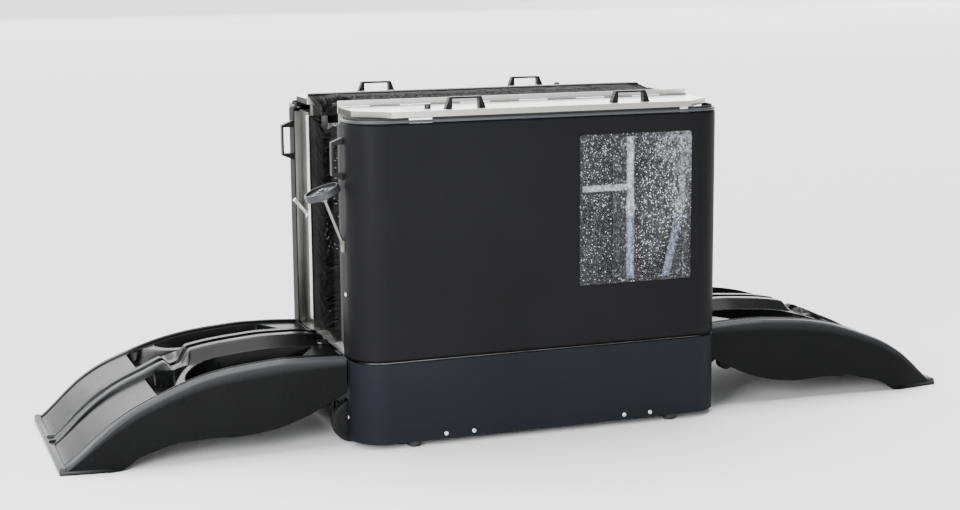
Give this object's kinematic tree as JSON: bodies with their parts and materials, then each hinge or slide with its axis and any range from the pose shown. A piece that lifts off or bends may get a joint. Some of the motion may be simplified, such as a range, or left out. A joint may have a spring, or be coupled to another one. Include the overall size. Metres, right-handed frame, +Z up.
{
  "type": "bicycle washing machine",
  "caption": "Walk-through bicycle washing machine: two black casings with steel lids either side of a brush-lined passage, folding ramps at both ends, tilted handwheel, window pane",
  "frame": {"origin": "on the floor at the middle of the machine", "axes": "+X the way the bicycle leaves, -Y the side with the window that faces the viewer, +Z up"},
  "size_m": [3.312, 0.958, 1.18],
  "materials": {
    "black_shell": "satin black",
    "stainless": "brushed stainless",
    "screw_steel": "bright zinc",
    "frame_paint": "black paint",
    "foot_rubber": "matte",
    "wheel_tyre": "matte",
    "pane": "clear, wet inside",
    "black_plastic": "matte black",
    "latch_plastic": "white",
    "ramp_plastic": "moulded black",
    "black_bristle": "nylon bristle",
    "pale_bristle": "nylon bristle",
    "core_plastic": "grey",
    "hose_plastic": "ribbed, bluish grey",
    "coupling_plastic": "white",
    "wheel_plastic": "black moulding"
  },
  "bodies": {
    "base": {"base_frame": "frame_paint", "sump_tank": "stainless", "front_skirt": "black_shell", "rear_skirt": "black_shell", "front_casing": "black_shell", "rear_casing": "black_shell", "panel_screws": "screw_steel", "rubber_feet": "foot_rubber", "wheel_track": "stainless", "front_inner_frame": "stainless", "rear_inner_frame": "stainless", "front_window": "pane", "rear_window": "pane", "window_gaskets": "foot_rubber", "brush_holders": "stainless", "front_top_brush": "black_bristle", "rear_top_brush": "black_bristle", "entry_front_brush": "black_bristle", "entry_rear_brush": "black_bristle", "exit_front_brush": "black_bristle", "exit_rear_brush": "black_bristle", "end_handles": "black_plastic", "lid_hinges": "stainless", "lid_rests": "stainless", "spray_pipes": "stainless", "spray_nozzles": "coupling_plastic", "front_hoses": "hose_plastic", "rear_hoses": "hose_plastic", "hose_couplings": "coupling_plastic", "pumps": "black_plastic", "filter_baskets": "stainless", "drive_motors": "black_plastic", "drive_belts": "foot_rubber", "roller_bearings": "screw_steel", "inlet_stubs": "stainless", "handwheel_spindles": "screw_steel", "ramp_brackets": "frame_paint", "ramp_pins": "screw_steel", "wheel_forks": "frame_paint", "wheel_axles": "screw_steel"},
    "front_lid": {"front_lid": "stainless", "front_lid_handles": "black_plastic"},
    "front_latch": {"front_latch": "latch_plastic"},
    "front_handwheel": {"front_handwheel": "wheel_plastic"},
    "front_motor_roller": {"front_motor_roller_shaft": "core_plastic", "front_motor_roller_brush": "pale_bristle"},
    "front_belt_roller": {"front_belt_roller_shaft": "core_plastic", "front_belt_roller_brush": "pale_bristle"},
    "front_transport_wheel": {"front_transport_wheel": "wheel_tyre"},
    "rear_lid": {"rear_lid": "stainless", "rear_lid_handles": "black_plastic"},
    "rear_latch": {"rear_latch": "latch_plastic"},
    "rear_handwheel": {"rear_handwheel": "wheel_plastic"},
    "rear_motor_roller": {"rear_motor_roller_shaft": "core_plastic", "rear_motor_roller_brush": "pale_bristle"},
    "rear_belt_roller": {"rear_belt_roller_shaft": "core_plastic", "rear_belt_roller_brush": "pale_bristle"},
    "rear_transport_wheel": {"rear_transport_wheel": "wheel_tyre"},
    "exit_ramp": {"exit_ramp": "ramp_plastic"},
    "entry_ramp": {"entry_ramp": "ramp_plastic"}
  },
  "joints": [
    {"name": "front_lid_hinge", "type": "hinge", "parent": "base", "child": "front_lid", "pos_m": [0, -0.2132, 1.139], "axis": [-1, 0, 0], "range_deg": [0, 85]},
    {"name": "front_latch_slide", "type": "slide", "parent": "front_lid", "child": "front_latch", "axis": [-1, 0, 0], "range_m": [0, 0.075]},
    {"name": "front_motor_roller_spin", "type": "hinge", "parent": "base", "child": "front_motor_roller", "pos_m": [-0.345, -0.235, 0.69], "axis": [0, 0, 1], "continuous": true},
    {"name": "front_belt_roller_spin", "type": "hinge", "parent": "base", "child": "front_belt_roller", "pos_m": [0.04, -0.235, 0.69], "axis": [0, 0, 1], "continuous": true},
    {"name": "front_handwheel_turn", "type": "hinge", "parent": "base", "child": "front_handwheel", "pos_m": [-0.756, -0.335, 0.879], "axis": [-0.3551, 0, 0.9348], "continuous": true},
    {"name": "front_transport_wheel_spin", "type": "hinge", "parent": "base", "child": "front_transport_wheel", "pos_m": [-0.66, -0.322, 0.076], "axis": [0, 1, 0], "continuous": true},
    {"name": "rear_lid_hinge", "type": "hinge", "parent": "base", "child": "rear_lid", "pos_m": [0, 0.2132, 1.139], "axis": [1, 0, 0], "range_deg": [0, 85]},
    {"name": "rear_latch_slide", "type": "slide", "parent": "rear_lid", "child": "rear_latch", "axis": [1, 0, 0], "range_m": [0, 0.075]},
    {"name": "rear_motor_roller_spin", "type": "hinge", "parent": "base", "child": "rear_motor_roller", "pos_m": [0.345, 0.235, 0.69], "axis": [0, 0, 1], "continuous": true},
    {"name": "rear_belt_roller_spin", "type": "hinge", "parent": "base", "child": "rear_belt_roller", "pos_m": [-0.04, 0.235, 0.69], "axis": [0, 0, 1], "continuous": true},
    {"name": "rear_handwheel_turn", "type": "hinge", "parent": "base", "child": "rear_handwheel", "pos_m": [0.756, 0.335, 0.879], "axis": [0.3551, 0, 0.9348], "continuous": true},
    {"name": "rear_transport_wheel_spin", "type": "hinge", "parent": "base", "child": "rear_transport_wheel", "pos_m": [-0.66, 0.322, 0.076], "axis": [0, 1, 0], "continuous": true},
    {"name": "exit_ramp_hinge", "type": "hinge", "parent": "base", "child": "exit_ramp", "pos_m": [0.712, 0, 0.3], "axis": [0, -1, 0], "range_deg": [0, 80]},
    {"name": "entry_ramp_hinge", "type": "hinge", "parent": "base", "child": "entry_ramp", "pos_m": [-0.712, 0, 0.3], "axis": [0, 1, 0], "range_deg": [0, 80]}
  ],
  "couplings": [
    {"joint": "front_belt_roller_spin", "follows": "front_motor_roller_spin", "ratio": 1},
    {"joint": "rear_belt_roller_spin", "follows": "rear_motor_roller_spin", "ratio": 1}
  ]
}
